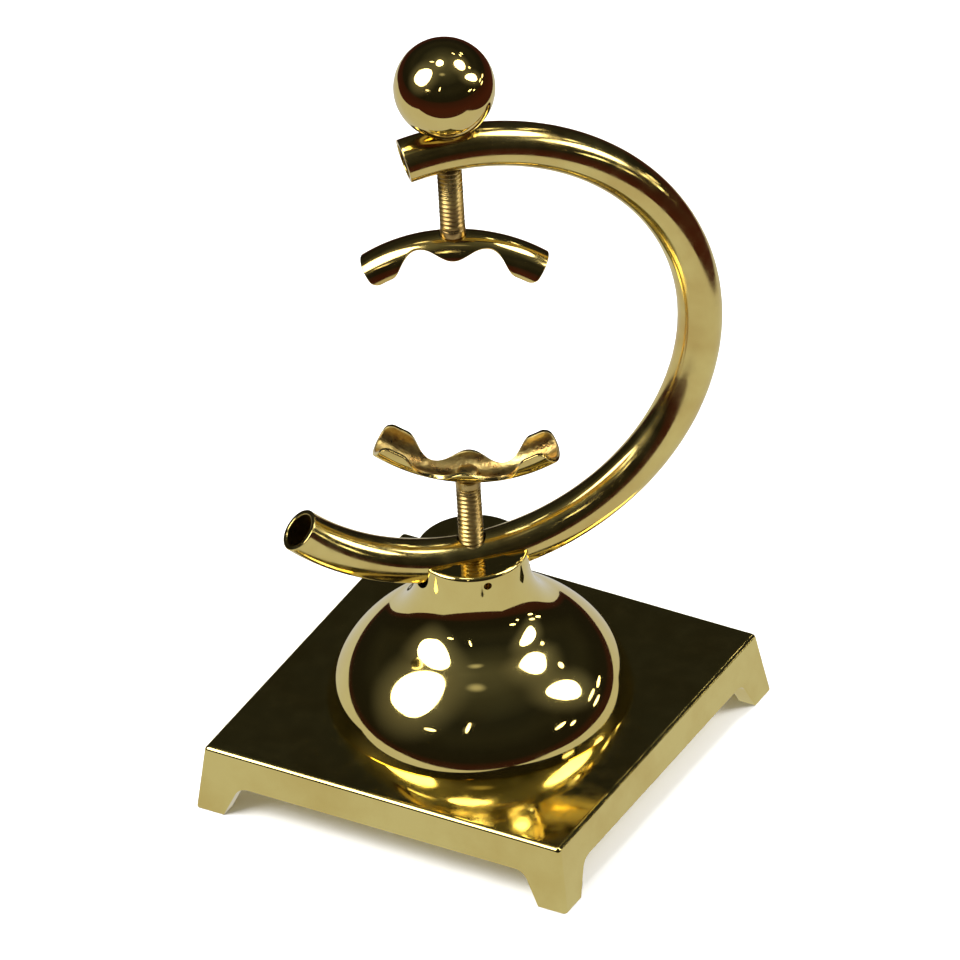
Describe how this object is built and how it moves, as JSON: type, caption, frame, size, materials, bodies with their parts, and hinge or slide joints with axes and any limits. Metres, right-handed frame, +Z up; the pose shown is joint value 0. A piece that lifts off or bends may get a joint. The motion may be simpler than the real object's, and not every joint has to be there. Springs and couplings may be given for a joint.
{
  "type": "specimen clamp stand",
  "caption": "Polished brass stand with a footed square base, domed pedestal, C-shaped tube arm and two opposed scalloped claws on screw spindles, the upper one turned by a ball knob.",
  "frame": {"origin": "on the floor, under the middle of the square base", "axes": "+Z up along both screw spindles; +X and +Y along the sides of the base; the arm stands in the plane of the diagonal, its open side towards -X-Y"},
  "size_m": [0.106, 0.106, 0.2146],
  "materials": {
    "cast_brass": "cast, polished to a mirror, lacquered",
    "turned_brass": "turned and polished to a mirror",
    "tube_brass": "drawn tube, polished",
    "knob_brass": "turned ball, polished",
    "claw_brass": "polished outside, tarnished and hammered inside",
    "spindle_brass": "cut thread, browned",
    "screw_brass": "turned screws, dull"
  },
  "bodies": {
    "stand": {"base_plate": "cast_brass", "pedestal": "turned_brass", "pedestal_screws": "screw_brass", "c_arm": "tube_brass", "thread_plug": "tube_brass", "arm_grub_screw": "screw_brass"},
    "upper_slider": {"upper_collar": "spindle_brass"},
    "upper_screw": {"upper_spindle": "spindle_brass", "ball_knob": "knob_brass"},
    "upper_jaw": {"upper_claw": "claw_brass"},
    "lower_slider": {"lower_collar": "spindle_brass"},
    "lower_screw": {"lower_spindle": "spindle_brass", "lower_claw": "claw_brass"}
  },
  "joints": [
    {"name": "upper_travel", "type": "slide", "parent": "stand", "child": "upper_slider", "axis": [0, 0, 1], "range_m": [0, 0.01651]},
    {"name": "upper_turn", "type": "hinge", "parent": "upper_slider", "child": "upper_screw", "pos_m": [0, 0, 0.158], "axis": [0, 0, 1], "range_deg": [0, 4680]},
    {"name": "upper_jaw_swivel", "type": "hinge", "parent": "upper_slider", "child": "upper_jaw", "pos_m": [0, 0, 0.158], "axis": [0, 0, 1], "continuous": true},
    {"name": "lower_travel", "type": "slide", "parent": "stand", "child": "lower_slider", "axis": [0, 0, 1], "range_m": [-0.01524, 0.01016]},
    {"name": "lower_turn", "type": "hinge", "parent": "lower_slider", "child": "lower_screw", "pos_m": [0, 0, 0.083], "axis": [0, 0, 1], "range_deg": [-4320, 2880]}
  ],
  "couplings": [
    {"joint": "upper_travel", "follows": "upper_turn", "m_per_rad": 0.00020213},
    {"joint": "lower_travel", "follows": "lower_turn", "m_per_rad": 0.00020213}
  ]
}
